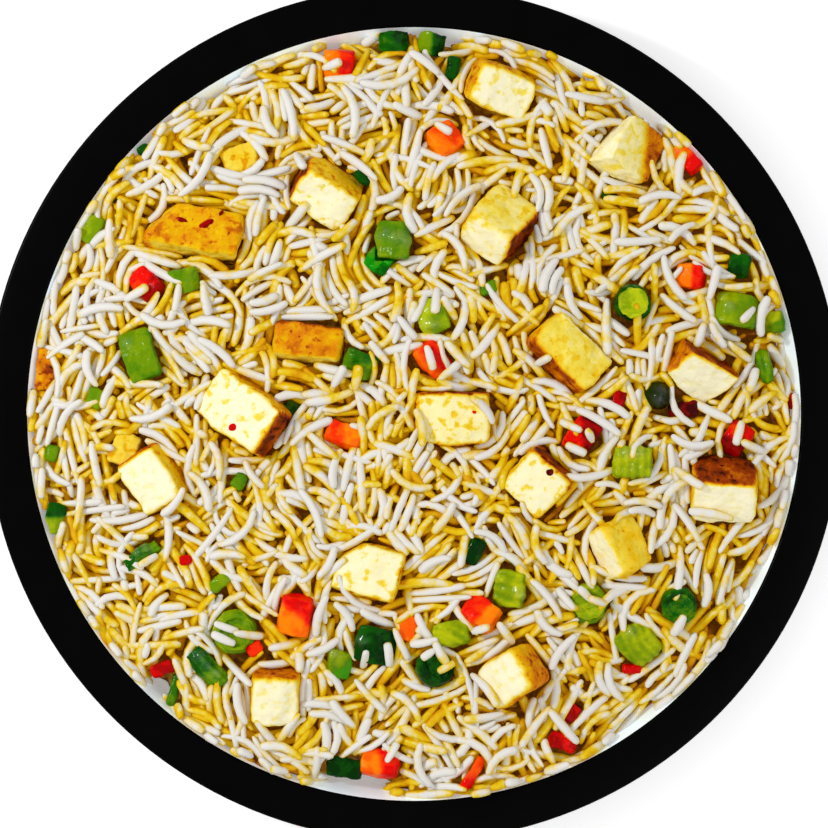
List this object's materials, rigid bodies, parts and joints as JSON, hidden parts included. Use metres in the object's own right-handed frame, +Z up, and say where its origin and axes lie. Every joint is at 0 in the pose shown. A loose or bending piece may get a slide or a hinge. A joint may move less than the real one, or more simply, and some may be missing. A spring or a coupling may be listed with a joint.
{
  "type": "fried rice plate",
  "caption": "A round rimmed plate heaped with long-grain fried rice, cubes of fried paneer, diced carrot, peppers, celery and spring onion.",
  "frame": {"origin": "centre of the foot ring on the surface that the plate stands on", "axes": "+Z up along the plate's axis; +X to the right and +Y away from the diner, as the plate is seen from above"},
  "size_m": [0.26, 0.26, 0.0425],
  "materials": {
    "plate": "glazed ceramic: glossy black rim and outside, white glaze inside the well",
    "rice": "cooked long grains, moist, white to golden yellow with oil",
    "paneer": "cream cut faces with golden-brown fried sides",
    "carrot": "cooked carrot, moist, orange to red",
    "red_pepper": "cooked red pepper, moist skin",
    "green_pepper": "cooked green pepper, moist skin",
    "celery": "cooked celery and beans, light yellow-green, ribbed",
    "spring_onion": "spring onion, green skin with a pale inside",
    "pea": "dark green cooked pea, glossy"
  },
  "bodies": {
    "root": {"plate": "plate", "rice": "rice", "paneer_01": "paneer", "paneer_02": "paneer", "paneer_03": "paneer", "paneer_04": "paneer", "paneer_05": "paneer", "paneer_06": "paneer", "paneer_07": "paneer", "paneer_08": "paneer", "paneer_09": "paneer", "paneer_10": "paneer", "paneer_11": "paneer", "paneer_12": "paneer", "paneer_13": "paneer", "paneer_14": "paneer", "paneer_15": "paneer", "paneer_16": "paneer", "paneer_17": "paneer", "carrot_01": "carrot", "carrot_02": "carrot", "carrot_03": "carrot", "carrot_04": "carrot", "carrot_05": "carrot", "carrot_06": "carrot", "carrot_07": "carrot", "carrot_08": "carrot", "carrot_09": "carrot", "carrot_10": "carrot", "red_pepper_01": "red_pepper", "red_pepper_02": "red_pepper", "red_pepper_03": "red_pepper", "red_pepper_04": "red_pepper", "green_pepper_01": "green_pepper", "green_pepper_02": "green_pepper", "green_pepper_03": "green_pepper", "green_pepper_04": "green_pepper", "green_pepper_05": "green_pepper", "green_pepper_06": "green_pepper", "green_pepper_07": "green_pepper", "green_pepper_08": "green_pepper", "green_pepper_09": "green_pepper", "green_pepper_10": "green_pepper", "green_pepper_11": "green_pepper", "green_pepper_12": "green_pepper", "celery_01": "celery", "celery_02": "celery", "celery_03": "celery", "celery_04": "celery", "celery_05": "celery", "celery_06": "celery", "celery_07": "celery", "onion_ring_01": "spring_onion", "onion_ring_02": "spring_onion", "onion_ring_03": "spring_onion", "onion_ring_04": "spring_onion", "onion_ring_05": "spring_onion", "onion_tube_01": "spring_onion", "onion_tube_02": "spring_onion", "pea_01": "pea"}
  },
  "joints": []
}
